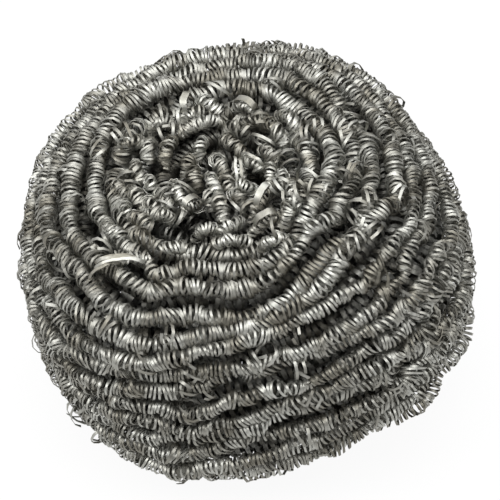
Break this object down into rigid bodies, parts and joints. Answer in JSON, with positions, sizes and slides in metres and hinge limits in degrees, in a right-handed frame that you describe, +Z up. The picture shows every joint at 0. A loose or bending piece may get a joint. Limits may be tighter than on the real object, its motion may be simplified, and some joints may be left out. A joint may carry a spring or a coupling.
{
  "type": "stainless steel scourer",
  "caption": "Squat ball of springy coiled steel ribbon, wound turn upon turn from a rosette at the crown to a pressed flat underside, for scouring pots and pans.",
  "frame": {"origin": "on the surface the scourer rests on, under the middle of the ball", "axes": "+Z up, +X to the right and +Y away from the viewer of the picture; the crown leans towards -X"},
  "size_m": [0.0944, 0.0946, 0.0649],
  "materials": {
    "stainless_ribbon": "bright shaved ribbon, slightly warm grey, soft gloss"
  },
  "bodies": {
    "root": {"wound_strand": "stainless_ribbon"}
  },
  "joints": []
}
